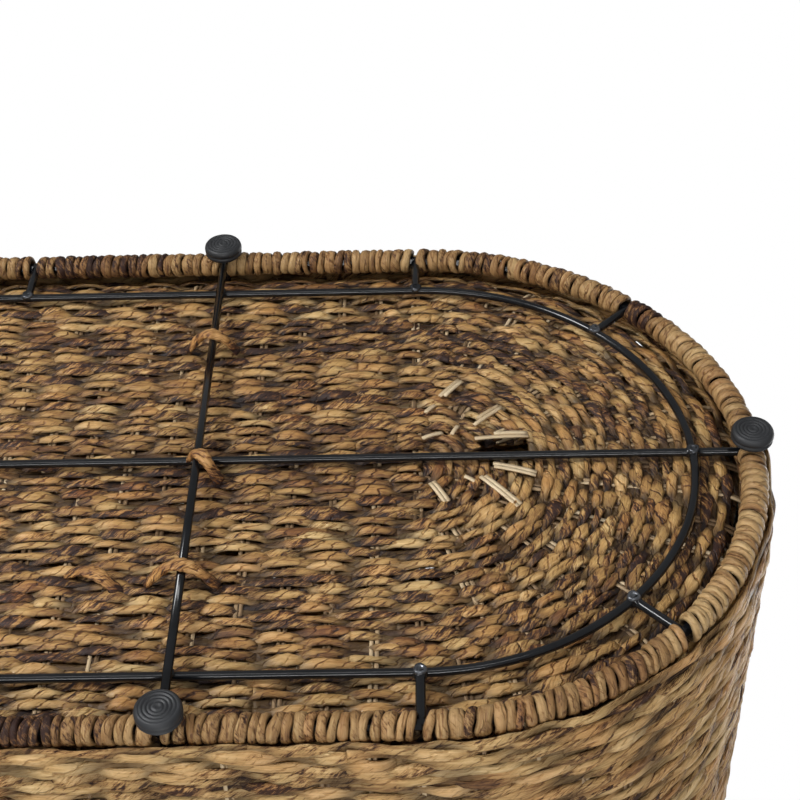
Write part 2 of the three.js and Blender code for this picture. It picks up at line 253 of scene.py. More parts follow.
def straight_tube(start, end, radius, bead_start=0.0, bead_end=0.0):
    """A round bar between two points. A bead widens an end as a weld does: its radius grows by
    bead·exp(-(distance/bead)²), with a few shallow ripples round it."""
    start, end = np.array(start, float), np.array(end, float)
    length = np.linalg.norm(end - start)
    along = (end - start) / length
    beads = max(bead_start, bead_end)
    near = np.linspace(0, 3 * beads, 9) if beads else np.zeros(0)
    places = np.unique(np.clip(np.concatenate([near, [0, length], length - near]), 0, length))
    first = np.cross(along, [0, 0, 1.0])
    if np.linalg.norm(first) < 1e-6:
        first = np.array([1.0, 0, 0])
    first /= np.linalg.norm(first)
    second = np.cross(along, first)
    angle = np.linspace(0, 2 * np.pi, WIRE_SIDES, endpoint=False)[None, :]
    size = np.full((len(places), WIRE_SIDES), radius)
    for bead, gone in ((bead_start, places), (bead_end, length - places)):
        if bead:
            ripple = 1 + 0.16 * np.sin(3 * angle + start[0] * 90) + 0.1 * np.sin(5 * angle)
            size = size + bead * np.exp(-((gone[:, None] / bead) ** 2)) * ripple
    path = start + along * places[:, None]
    many = np.ones((len(places), 1))
    return sweep(path, many * first, many * second, size, size, WIRE_SIDES)


def upright_rings(middle, heights, size_x, size_y, sides, rising=True):
    """Level rings round an upright axis through middle (x, y), at the given heights, with the
    given half sizes along x and y. rising says whether the heights go up or down."""
    path = np.array([*middle, 0.0]) + np.array([0, 0, 1.0]) * np.reshape(heights, (-1, 1))
    many = np.ones((len(path), 1))
    across = np.array([0, 1.0 if rising else -1.0, 0])
    return sweep(path, many * np.array([1.0, 0, 0]), many * across, size_x, size_y, sides)


def plan_loop(radius, height, arc_steps):
    """Points once round the trunk's plan at one radius, with the outward direction at each:
    half a circle round one end's centre, a straight side, the other half circle, and back."""
    angle = np.linspace(-np.pi / 2, np.pi / 2, arc_steps)
    centre = np.repeat([[HALF_STRAIGHT, 0, height], [-HALF_STRAIGHT, 0, height]], arc_steps, axis=0)
    angle = np.concatenate([angle, angle + np.pi])
    outward = np.stack([np.cos(angle), np.sin(angle), np.zeros_like(angle)], axis=-1)
    return centre + outward * radius, outward


def noise_node(tree, scale, detail, roughness, vector):
    """A noise texture on the given coordinates."""
    noise = tree.nodes.new("ShaderNodeTexNoise")
    noise.inputs["Scale"].default_value = scale
    noise.inputs["Detail"].default_value = detail
    noise.inputs["Roughness"].default_value = roughness
    tree.links.new(vector, noise.inputs["Vector"])
    return noise.outputs["Fac"]


def map_range(tree, value, low, high, to_low, to_high, smooth=False):
    """value carried from one range to another, and held inside it."""
    node = tree.nodes.new("ShaderNodeMapRange")
    node.interpolation_type = "SMOOTHSTEP" if smooth else "LINEAR"
    for socket, number in (("From Min", low), ("From Max", high), ("To Min", to_low),
                           ("To Max", to_high)):
        node.inputs[socket].default_value = number
    tree.links.new(value, node.inputs["Value"])
    return node.outputs["Result"]


def bump_node(tree, height, strength, distance):
    """A bump from a height, linked to the material's shader."""
    bump = tree.nodes.new("ShaderNodeBump")
    bump.inputs["Strength"].default_value = strength
    bump.inputs["Distance"].default_value = distance
    tree.links.new(height, bump.inputs["Height"])
    tree.links.new(bump.outputs["Normal"], tree.nodes["Principled BSDF"].inputs["Normal"])


def mix_colour(tree, amount, first, second, blend="MIX"):
    """A mix of two colours, each a socket or a plain colour."""
    mix = tree.nodes.new("ShaderNodeMix")
    mix.data_type, mix.blend_type = "RGBA", blend
    tree.links.new(amount, mix.inputs["Factor"])
    for socket, colour in (("A", first), ("B", second)):
        place = next(s for s in mix.inputs if s.name == socket and s.type == "RGBA")
        if isinstance(colour, tuple):
            place.default_value = colour
        else:
            tree.links.new(colour, place)
    return next(s for s in mix.outputs if s.type == "RGBA")


def coat_material(name, dark, light, rough_low, rough_high, grain, depth, metal=0.0):
    """A coated, moulded or metal finish: its colour and roughness drift with a broad noise, and a
    fine one gives the surface its grain."""
    material, tree, shader = new_material(name)
    shader.inputs["Metallic"].default_value = metal
    place = tree.nodes.new("ShaderNodeTexCoord").outputs["Object"]
    broad = noise_node(tree, 38.0, 3.0, 0.6, place)
    fine = noise_node(tree, grain, 2.0, 0.5, place)
    tint = mix_colour(tree, map_range(tree, broad, 0.35, 0.7, 0.0, 1.0), dark, light)
    tree.links.new(tint, shader.inputs["Base Color"])
    tree.links.new(map_range(tree, broad, 0.3, 0.7, rough_low, rough_high),
                   shader.inputs["Roughness"])
    bump_node(tree, fine, 0.25, depth)
    return material


def finish_cad(node_names, material):
    """Puts a finish on pieces that keep their CAD shape."""
    for node_name in node_names:
        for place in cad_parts[node_name].material_slots:
            place.material = material


black_coat = coat_material("black_powder_coat", (0.004, 0.0045, 0.0055, 1),
                           (0.009, 0.010, 0.012, 1), 0.10, 0.16, 900.0, 0.00005)

OVAL_STEPS = 64
path, outward = plan_loop(OVAL_RADIUS, BASE_HEIGHT, OVAL_STEPS)
downward = np.tile([0.0, 0, -1], (len(path), 1))
oval = sweep(path, outward, downward, WIRE, WIRE, WIRE_SIDES)
tube_piece("base_oval_wire", [oval], black_coat, "trunk", ["inner_oval_wire"],
           closed=True)

WELD_SIDES = 14
# A weld's dished button, seen from below: radius, and depth below the joint, mm.
NUGGET_OUTLINE = np.array([(0.05, 0.8), (1.0, 0.6), (1.7, 1.2), (2.5, 1.6), (3.3, 1.2),
                           (3.9, 0.2), (3.6, -1.0), (0.05, -1.2)]) / 1000


def weld_nugget(x, y, height):
    """A round, dished weld on the underside of a joint, a little lumpy round its edge."""
    radius, depth = NUGGET_OUTLINE[:, 0:1], NUGGET_OUTLINE[:, 1:2]
    angle = np.linspace(0, 2 * np.pi, WELD_SIDES, endpoint=False)[None, :]
    size = radius * (1 + 0.08 * np.sin(3 * angle + x * 400 + y * 700))
    return upright_rings((x, y), height - depth, size, size, WELD_SIDES)


LONG_BEAD = 0.0016
long_end = HALF_STRAIGHT + OVAL_RADIUS - WIRE * 0.6
long_tube = straight_tube((-long_end, 0, BASE_HEIGHT), (long_end, 0, BASE_HEIGHT), WIRE,
                          bead_start=LONG_BEAD, bead_end=LONG_BEAD)
welds = [weld_nugget(side_sign * (HALF_STRAIGHT + OVAL_RADIUS), 0, BASE_HEIGHT - WIRE)
         for side_sign in (-1, 1)]
tube_piece("base_long_wire", [long_tube], black_coat, "trunk", ["long_wire"])


BEAD_RADIUS = 0.0036
BEAD_HALF = 0.0022      # half the height of the lump of weld between two crossed wires


def weld_bead(x, y):
    """A small smooth lump of weld between two crossed wires: a flattened ball, almost closed at
    its poles."""
    down = np.linspace(0.06, np.pi - 0.06, 9)
    size = np.sin(down) * BEAD_RADIUS
    heights = (BASE_HEIGHT + CROSS_HEIGHT) / 2 + np.cos(down) * BEAD_HALF
    return upright_rings((x, y), heights, size, size, 12, rising=False)


for cross_name, x in (("left", -CROSS_X), ("right", CROSS_X)):
    bar = straight_tube((x, -CROSS_REACH, CROSS_HEIGHT), (x, CROSS_REACH, CROSS_HEIGHT), WIRE)
    lumps = [weld_bead(x, y) for y in (-OVAL_RADIUS, 0.0, OVAL_RADIUS)]
    tube_piece(f"base_cross_wire_{cross_name}", [bar, *lumps], black_coat, "trunk",
               [f"cross_wire_{cross_name}"])

STUB_PLACES = {
    "left_end": (-1, 180), "right_end": (1, 0), "left_front_corner": (-1, 225),
    "left_back_corner": (-1, 135), "right_front_corner": (1, -45), "right_back_corner": (1, 45),
    "left_front": (-1, 270), "left_back": (-1, 90), "right_front": (1, -90),
    "right_back": (1, 90), "middle_front": (0, -90), "middle_back": (0, 90)}
STUB_BEAD = 0.0017
for stub_name, (end_side, degrees) in STUB_PLACES.items():
    angle = math.radians(degrees)
    ends = [(end_side * HALF_STRAIGHT + r * math.cos(angle), r * math.sin(angle), BASE_HEIGHT)
            for r in (OVAL_RADIUS + WIRE * 0.5, RIM_RADIUS - ROD * 0.5)]
    stub = straight_tube(*ends, WIRE * 1.06, bead_start=STUB_BEAD)
    if not stub_name.endswith("_end"):
        welds.append(weld_nugget(end_side * HALF_STRAIGHT + OVAL_RADIUS * math.cos(angle),
                                 OVAL_RADIUS * math.sin(angle), BASE_HEIGHT - WIRE))
    tube_piece(f"base_stub_{stub_name}", [stub], black_coat, "trunk",
               [f"stub_{stub_name}"])

weld_metal = coat_material("lacquered_weld", (0.03, 0.032, 0.036, 1), (0.20, 0.21, 0.23, 1),
                           0.12, 0.3, 500.0, 0.0006, 0.7)
tube_piece("base_weld_nuggets", welds, weld_metal, "trunk", ["inner_oval_wire"])

UPRIGHT_BEAD = 0.0014
POSTS = ("front_left", "front_right", "back_left", "back_right", "left_end", "right_end")
for post in POSTS:
    low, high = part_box(f"upright_{post}")
    x, y, _ = box_middle(f"upright_{post}")
    upright = straight_tube((x, y, low.z), (x, y, high.z), WIRE, bead_start=UPRIGHT_BEAD,
                            bead_end=UPRIGHT_BEAD)
    tube_piece(f"frame_upright_{post}", [upright], black_coat, "trunk",
               [f"upright_{post}"])

finish_cad(["base_ring_rod", "top_ring_rod", "lid_ring_rod",
            *(f"foot_stud_{post}" for post in POSTS)], black_coat)

# ---------------------------------------------------------------------------------------------
# Feet. Dark grey rubber buttons, moulded with raised rings on the face that meets the floor,
# each pushed over a steel stud under the rim.
# ---------------------------------------------------------------------------------------------
FOOT_SIDES = 48
FOOT_GROOVES = (2.6, 4.7, 6.8)      # radius at which each groove between two rings starts, mm
GROOVE = ((0.0, 0.0), (0.4, 0.55), (0.8, 0.55), (1.2, 0.0))
# The button's outline from the middle of its resting face over its rings and round its rim to its
# socket: radius and height, mm.
FOOT_OUTLINE = np.array([
    (0.05, 0.4), (1.0, 0.35), (1.5, 0.0),
    *((start + past, depth) for start in FOOT_GROOVES for past, depth in GROOVE),
    (8.9, 0.05), (9.3, 0.6), (9.7, 0.6), (10.1, 0.3), (11.0, 0.8), (11.8, 1.8),
    (12.2, 3.2), (12.2, 4.6), (11.5, 5.1), (11.5, 5.6), (12.0, 6.1), (12.0, 7.4), (11.4, 8.4),
    (10.4, 9.0), (9.0, 9.0), (2.6, 9.0), (2.3, 8.2), (2.3, 3.0)]) / 1000
rubber = coat_material("grey_moulded_rubber", (0.018, 0.019, 0.021, 1), (0.034, 0.036, 0.040, 1),
                       0.42, 0.6, 420.0, 0.0003)


FOOT_WOBBLE = 0.006     # how uneven each radius is round the axis, as soft rubber is


def foot_button(centre):
    """The outline spun round the axis of a foot."""
    radius, height = FOOT_OUTLINE[:, 0:1], FOOT_OUTLINE[:, 1:2]
    angle = np.linspace(0, 2 * np.pi, FOOT_SIDES, endpoint=False)[None, :]
    size = radius * (1 + FOOT_WOBBLE * np.sin(3 * angle + 5 * radius * 300))
    return upright_rings(centre, height, size, size, FOOT_SIDES)


for post in POSTS:
    foot = foot_button(box_middle(f"foot_pad_{post}")[:2])
    tube_piece(f"rubber_foot_{post}", [foot], rubber, "trunk",
               [f"foot_pad_{post}"])

# ---------------------------------------------------------------------------------------------
# Splints. Pairs of flat split cane, 24 mm apart, that run across the base from the middle line,
# turn up at its edge and stand inside the wall. The strands are woven over and under them.
# ---------------------------------------------------------------------------------------------
ARC_STAKES = 22         # splint spaces round each half-round end
SIDE_STAKES = 21        # splint spaces along each straight side
STAKES = 2 * (ARC_STAKES + SIDE_STAKES)
SPLINT_WIDE = 0.0021
SPLINT_THICK = 0.001
PAIR_APART = 0.0031
rng = np.random.default_rng(7)

PANEL_HALF = 0.0036     # half the depth of the base's and the lid's weave
WALL_HALF = 0.00425     # half the depth of the wall's weave
wall_low, wall_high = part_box("side_weave")
WALL_HEIGHT = wall_high.z - wall_low.z
WALL_RADIUS = wall_high.y - WALL_HALF
BOTTOM_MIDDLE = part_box("bottom_weave")[0].z + PANEL_HALF
BOTTOM_FLAT = 0.168     # end radius at which the base starts to turn up
BOTTOM_BEND = 0.038
WALL_DRAWN_IN = 0.0007  # how far the wall is drawn in at its edges, and over what distance
WALL_EDGE = 0.004


def stake_plan(turns, radius, arc_stakes):
    """Where a row of the weave passes, counted in splint spaces from the front of the right-hand
    end: round that end, along the back, round the left-hand end, and along the front. Gives
    the point on the plan, the outward direction, and the way the row runs."""
    turns = np.mod(turns, 2 * (arc_stakes + SIDE_STAKES))
    half = arc_stakes + SIDE_STAKES
    second = turns >= half
    step = np.where(second, turns - half, turns)
    in_arc = step < arc_stakes
    angle = np.where(in_arc, -np.pi / 2 + np.pi * step / arc_stakes, np.pi / 2)
    across = np.where(in_arc, HALF_STRAIGHT,
                      HALF_STRAIGHT * (1 - 2 * (step - arc_stakes) / SIDE_STAKES))
    flip = np.where(second, -1.0, 1.0)
    outward = np.stack([np.cos(angle), np.sin(angle), np.zeros_like(angle)], -1) * flip[:, None]
    place = outward * np.asarray(radius)[..., None]
    place[:, 0] += across * flip
    onward = np.stack([-outward[:, 1], outward[:, 0], np.zeros_like(angle)], -1)
    return place, outward, onward


def bottom_profile(s):
    """Radius and height of the base panel's middle surface at a distance s from its middle line,
    and the direction in which it runs: flat, then a bend upwards."""
    bend = np.maximum(s - BOTTOM_FLAT, 0) / BOTTOM_BEND
    radius = np.minimum(s, BOTTOM_FLAT) + BOTTOM_BEND * np.sin(bend)
    height = BOTTOM_MIDDLE + BOTTOM_BEND * (1 - np.cos(bend))
    return radius, height, np.cos(bend), np.sin(bend)


def wall_profile(s):
    """The wall's middle surface at a distance s above its lower edge: upright at one radius, but
    drawn in by exp(-distance/edge) against the rim wraps at both edges."""
    still = np.zeros_like(s)
    edge = np.maximum(np.minimum(s, WALL_HEIGHT - s) + WALL_EDGE, 0)
    radius = WALL_RADIUS - WALL_DRAWN_IN * np.exp(-edge / WALL_EDGE)
    return radius, wall_low.z + s, still, still + 1.0


def flat_bar(path, normal, across, half_wide):
    """A four-sided splint along a path: the corners of its section lie at 45 degrees, √2 times
    its half sizes from its middle."""
    return sweep(path, normal, across, SPLINT_THICK / 2 * math.sqrt(2), half_wide * math.sqrt(2),
                 4, np.pi / 4)


def splint_pair(place_number, profile, start, end, count, arc_stakes=ARC_STAKES, face=1):
    """Two flat splints side by side along a panel's profile at one splint place, from distance
    start to end. Each sways a little as split cane does. face is -1 on the lid, whose outer
    side is its upper one."""
    s = np.linspace(start, end, count)
    radius, height, run_out, run_up = profile(s)
    place, outward, onward = stake_plan(np.full(count, float(place_number)), radius, arc_stakes)
    place[:, 2] = height
    normal = (outward * run_up[:, None] - np.array([0, 0, 1.0]) * run_out[:, None]) * face
    onward = onward * face
    tubes = []
    for sign in (-1, 1):
        sway = 0.0003 * np.sin(s * 60 + rng.uniform(0, 6)) + rng.normal(0, 0.0002)
        lift = 0.0004 * np.sin(s * 90 + rng.uniform(0, 6))
        path = place + onward * (sign * PAIR_APART / 2 + sway)[:, None] + normal * lift[:, None]
        wide = SPLINT_WIDE / 2 * rng.uniform(0.88, 1.08)
        tubes.append(flat_bar(path, normal, onward, wide))
    return tubes


def leaf_numbers(shape, tone, dark, red, unshaded):
    """The leaf attribute of a tube, rings by sides by 4: its tone, how stained and how red it is,
    and how clear it is of painted shade, from 0, darkened like a gap between strands, to 1.
    Each is a number or an array."""
    given = [np.broadcast_to(value, shape) for value in (tone, dark, red, unshaded)]
    return np.stack(given, axis=-1)


def distance_along(path):
    """How far along a path each of its points lies."""
    steps = np.linalg.norm(np.diff(path, axis=0), axis=1)
    return np.concatenate([[0], np.cumsum(steps)])


def plain_pattern(tubes, tone, spread):
    """The strand map and leaf colours of simple tubes: distance along each, and one tone each."""
    made = []
    for tube in tubes:
        along = distance_along(tube[:, 0]) + rng.uniform(0, 30)
        around = np.linspace(0, 0.008, tube.shape[1] + 1)
        leaf = leaf_numbers(tube.shape[:2], rng.normal(tone, spread), 0.1, 0.1, 1.0)
        made.append((along, around, leaf))
    return made


def strand_look():
    """The shader node group of all leaf and cane: it reads the strand map and the leaf attribute
    (tone, stain, redness, and how clear a point is of painted shade) and gives a colour, a
    roughness and a height. Fine noise drawn out along the strand gives fibres, folds cross it
    slantwise as its twist does, sinking the bump and darkening the colour with painted shade in
    their creases, and a broad noise lets the tone drift between the four named colours. Painted
    shade pulls the colour towards near black on the surface that lies between strands."""
    group = bpy.data.node_groups.new("leaf_strand_look", "ShaderNodeTree")
    for name, kind, low in (("Dark", "NodeSocketColor", None), ("Brown", "NodeSocketColor", None),
                            ("Tan", "NodeSocketColor", None), ("Pale", "NodeSocketColor", None),
                            ("Ply", "NodeSocketFloat", 90.0), ("Drift", "NodeSocketFloat", 0.3),
                            ("Fibre", "NodeSocketFloat", 0.3), ("Crease", "NodeSocketFloat", 0.5)):
        socket = group.interface.new_socket(name, in_out="INPUT", socket_type=kind)
        if low is not None:
            socket.default_value = low
    for name, kind in (("Color", "NodeSocketColor"), ("Roughness", "NodeSocketFloat"),
                       ("Height", "NodeSocketFloat")):
        group.interface.new_socket(name, in_out="OUTPUT", socket_type=kind)
    given = group.nodes.new("NodeGroupInput").outputs
    taken = group.nodes.new("NodeGroupOutput").inputs
    uv = group.nodes.new("ShaderNodeUVMap")
    uv.uv_map = "strand"
    leaf = group.nodes.new("ShaderNodeAttribute")
    leaf.attribute_name = "leaf"
    parts = group.nodes.new("ShaderNodeSeparateColor")
    group.links.new(leaf.outputs["Color"], parts.inputs["Color"])

    def drawn(scale_along, scale_across, turn_by=0.0):
        """The strand map turned by an angle and then scaled along and across."""
        vector = uv.outputs["UV"]
        if turn_by:
            rotate = group.nodes.new("ShaderNodeVectorRotate")
            rotate.rotation_type = "Z_AXIS"
            rotate.inputs["Angle"].default_value = turn_by
            group.links.new(vector, rotate.inputs["Vector"])
            vector = rotate.outputs["Vector"]
        scale = group.nodes.new("ShaderNodeVectorMath")
        scale.operation = "MULTIPLY"
        scale.inputs[1].default_value = (scale_along, scale_across, 1)
        group.links.new(vector, scale.inputs[0])
        return scale.outputs["Vector"]

    def maths(kind, first, second):
        """One maths node on sockets or numbers."""
        node = group.nodes.new("ShaderNodeMath")
        node.operation = kind
        for socket, value in zip(node.inputs, (first, second)):
            if isinstance(value, (int, float)):
                socket.default_value = value
            else:
                group.links.new(value, socket)
        return node.outputs[0]

    # Fibres, streaks and drift run along the strand; blots, flecks and wrinkles lie aslant.
    fibre = noise_node(group, 1.0, 3.0, 0.65, drawn(110, 2600))
    streak = noise_node(group, 1.0, 2.0, 0.6, drawn(60, 800))
    drift = noise_node(group, 1.0, 3.0, 0.65, drawn(55, 170))
    blot = noise_node(group, 1.0, 4.0, 0.7, drawn(75, 330, 0.45))
    fleck = noise_node(group, 1.0, 3.0, 0.7, drawn(190, 1400, 0.55))
    wrinkle = noise_node(group, 1.0, 3.0, 0.7, drawn(120, 1500, 0.5))
    warp = noise_node(group, 1.0, 2.0, 0.5, drawn(90, 260))
    # Folds: a saw along the strand, set back round it and warped, of which the crest is kept.
    across = group.nodes.new("ShaderNodeSeparateXYZ")
    group.links.new(uv.outputs["UV"], across.inputs["Vector"])
    ply = maths("ADD", maths("MULTIPLY", across.outputs["X"], given["Ply"]),
                maths("MULTIPLY", across.outputs["Y"], 170.0))
    ply = maths("FRACT", maths("ADD", ply, maths("MULTIPLY", warp, 1.4)), 0)
    ridge = maths("MULTIPLY", maths("ABSOLUTE", maths("SUBTRACT", ply, 0.5), 0), 2.0)
    fold = map_range(group, ridge, 0.74, 0.98, 0.0, 1.0, True)
    fold = maths("MULTIPLY", fold, map_range(group, drift, 0.36, 0.6, 0.15, 1.0, True))
    line = map_range(group, wrinkle, 0.56, 0.70, 0.0, 1.0, True)
    # The creases of folds and wrinkles sink the bump, and also darken the colour as painted shade
    # in them.
    crease_and_shade = maths("MULTIPLY", maths("MAXIMUM", fold, maths("MULTIPLY", line, 0.55)), given["Crease"])
    # The tone of the leaf, lowered by stains and by painted shade in the creases, picks its colour.
    grain = maths("SUBTRACT", maths("ADD", fibre, streak), 1.0)
    wander = maths("MULTIPLY", maths("SUBTRACT", drift, 0.5), given["Drift"])
    tone = maths("ADD", parts.outputs["Red"], wander)
    tone = maths("ADD", tone, maths("MULTIPLY", grain, given["Fibre"]))
    spots = maths("ADD", maths("MULTIPLY", blot, 0.62), maths("MULTIPLY", fleck, 0.38))
    stain = map_range(group, maths("ADD", maths("MULTIPLY", parts.outputs["Green"], 0.25), spots),
                      0.56, 0.74, 0.0, 0.72, True)
    tone = maths("SUBTRACT", maths("SUBTRACT", tone, stain), maths("MULTIPLY", crease_and_shade, 0.40))
    colour = given["Dark"]
    for low, high, paint in ((0.0, 0.27, "Brown"), (0.27, 0.56, "Tan"), (0.56, 1.0, "Pale")):
        share = map_range(group, tone, low, high, 0.0, 1.0)
        colour = mix_colour(group, share, colour, given[paint])
    warm = map_range(group, parts.outputs["Blue"], 0.0, 1.0, 0.0, 0.6)
    colour = mix_colour(group, warm, colour, (1.0, 0.66, 0.5, 1), "MULTIPLY")
    # Painted shade: a low alpha in the leaf attribute pulls the colour towards near black, as the
    # gaps between strands would be shaded.
    painted_shade = map_range(group, leaf.outputs["Alpha"], 0.0, 0.9, 0.88, 0.0)
    colour = mix_colour(group, painted_shade, colour, (0.010, 0.006, 0.005, 1))
    group.links.new(colour, taken["Color"])
    group.links.new(map_range(group, maths("ADD", grain, tone), 0.2, 0.9, 0.56, 0.30),
                    taken["Roughness"])
    height = maths("SUBTRACT", maths("MULTIPLY", grain, 0.5), crease_and_shade)
    group.links.new(height, taken["Height"])
    return group


leaf_group = strand_look()


def leaf_material(name, colours, ply, drift, fibre, crease, depth, shine=0.3):
    """A leaf or cane finish: its four colours from darkest to palest, how many folds a metre its
    twist makes, how strongly its tone, fibres and creases show, the creases in the bump and as
    painted shade, and how much it shines."""
    material, tree, shader = new_material(name)
    look_node = tree.nodes.new("ShaderNodeGroup")
    look_node.node_tree = leaf_group
    for socket, colour in zip(("Dark", "Brown", "Tan", "Pale"), colours):
        look_node.inputs[socket].default_value = (*colour, 1)
    for socket, value in (("Ply", ply), ("Drift", drift), ("Fibre", fibre),
                          ("Crease", crease)):
        look_node.inputs[socket].default_value = value
    tree.links.new(look_node.outputs["Color"], shader.inputs["Base Color"])
    tree.links.new(look_node.outputs["Roughness"], shader.inputs["Roughness"])
    bump_node(tree, look_node.outputs["Height"], 0.8, depth)
    shader.inputs["Specular IOR Level"].default_value = shine
    return material


pale_cane = leaf_material("pale_split_cane", (
    (0.13, 0.08, 0.04), (0.30, 0.20, 0.11), (0.56, 0.42, 0.25), (0.80, 0.66, 0.44)),
    8.0, 0.30, 0.45, 0.15, 0.0002)

# How many splint spaces a row has round an end, by its distance from the middle line: more
# splints are let in as the circle widens.
END_SPACES = ((0.014, 2), (0.030, 4), (0.056, 8), (0.098, 12), (1.0, ARC_STAKES))


def end_spaces(distance):
    """Splint spaces round an end for a row at that distance from the middle line."""
    return next(spaces for limit, spaces in END_SPACES if distance < limit)


# Where the first row turns round the right-hand end, its strands stand apart and leave a small
# hole: x from, x to, y from, y to.
HUB_HOLE = (0.291, 0.324, -0.0205, -0.0015)


def clear_runs(path, hole):
    """The stretches of a path that lie outside a hole, as arrays of its point numbers."""
    x_from, x_to, y_from, y_to = hole
    kept = ~((path[:, 0] > x_from) & (path[:, 0] < x_to)
             & (path[:, 1] > y_from) & (path[:, 1] < y_to))
    runs = np.split(np.arange(len(kept)), np.nonzero(np.diff(kept))[0] + 1)
    return [run for run in runs if kept[run[0]] and len(run) > 2]


BASE_EDGE = BOTTOM_FLAT + 0.040
SPLINT_OVERLAP = 0.006  # how far each ring of splints reaches into its neighbours


def panel_splints(profile, edge, face=1):
    """All splints of the base or the lid. Round an end each ring of rows has its own, and more of
    them as the circle widens. Along the sides they run from the middle line to the edge."""
    splints = []
    inner = 0.003
    for limit, spaces in END_SPACES:
        half = spaces + SIDE_STAKES
        outermost = spaces == ARC_STAKES
        for number in range(2 * half):
            if number % half <= spaces:
                splints += splint_pair(number, profile, inner, min(limit + SPLINT_OVERLAP, edge),
                                       24 if outermost else 8, spaces, face)
            elif outermost:
                splints += splint_pair(number, profile, 0.0015, edge, 36, spaces, face)
        inner = limit - SPLINT_OVERLAP
    return splints


base_splints, wall_splints = panel_splints(bottom_profile, BASE_EDGE), []
for number in range(STAKES):
    wall_splints += splint_pair(number, wall_profile, 0.0, WALL_HEIGHT, 12)
base_splints = [tube[run] for tube in base_splints
                for run in clear_runs(tube.mean(axis=1), HUB_HOLE)]
tube_piece("base_splints", base_splints, pale_cane, "trunk",
           pattern=plain_pattern(base_splints, 0.32, 0.26))
tube_piece("wall_splints", wall_splints, pale_cane, "trunk",
           pattern=plain_pattern(wall_splints, 0.24, 0.2))

# ---------------------------------------------------------------------------------------------
# Base panel. Dried leaf, twisted by hand into strands, woven in oval rows from the middle line
# out over one pair of splints and under the next. Neighbouring rows go the other way.
# ---------------------------------------------------------------------------------------------
BASE_PITCH = 0.00385


def eased(values, turns):
    """Values held at whole splint places, eased from one to the next by 3x² - 2x³."""
    whole = np.floor(turns).astype(int)
    share = turns - whole
    share = share * share * (3 - 2 * share)
    return values[whole % len(values)] * (1 - share) + values[(whole + 1) % len(values)] * share


def drawn_out(count, spread):
    """Random numbers round a closed row, of unit size, that change slowly from place to place."""
    raw = rng.normal(0, 1, count)
    shifts = range(-6, 7)
    weights = np.exp(-0.5 * (np.array(shifts) / spread) ** 2)
    smooth = sum(np.roll(raw, shift) * weight for shift, weight in zip(shifts, weights))
    return smooth / np.sqrt((weights ** 2).sum())


def butt_places(arc_stakes):
    """Where the lengths of a row butt, between two splints: near the ends and a third of the way
    into each half circle, moved up to three spaces by chance and never closer than three."""
    half, third = arc_stakes + SIDE_STAKES, arc_stakes // 3
    wanted = [part * half + place for part in (0, 1)
              for place in (0, third, arc_stakes - third, arc_stakes)]
    moved = np.sort(np.array(wanted) + rng.integers(-3, 4, 8)) + 0.5
    cuts = [moved[0]]
    for cut in moved[1:]:
        if cut - cuts[-1] >= 3 and moved[0] + 2 * half - cut >= 3:
            cuts.append(cut)
    return [*cuts, moved[0] + 2 * half]


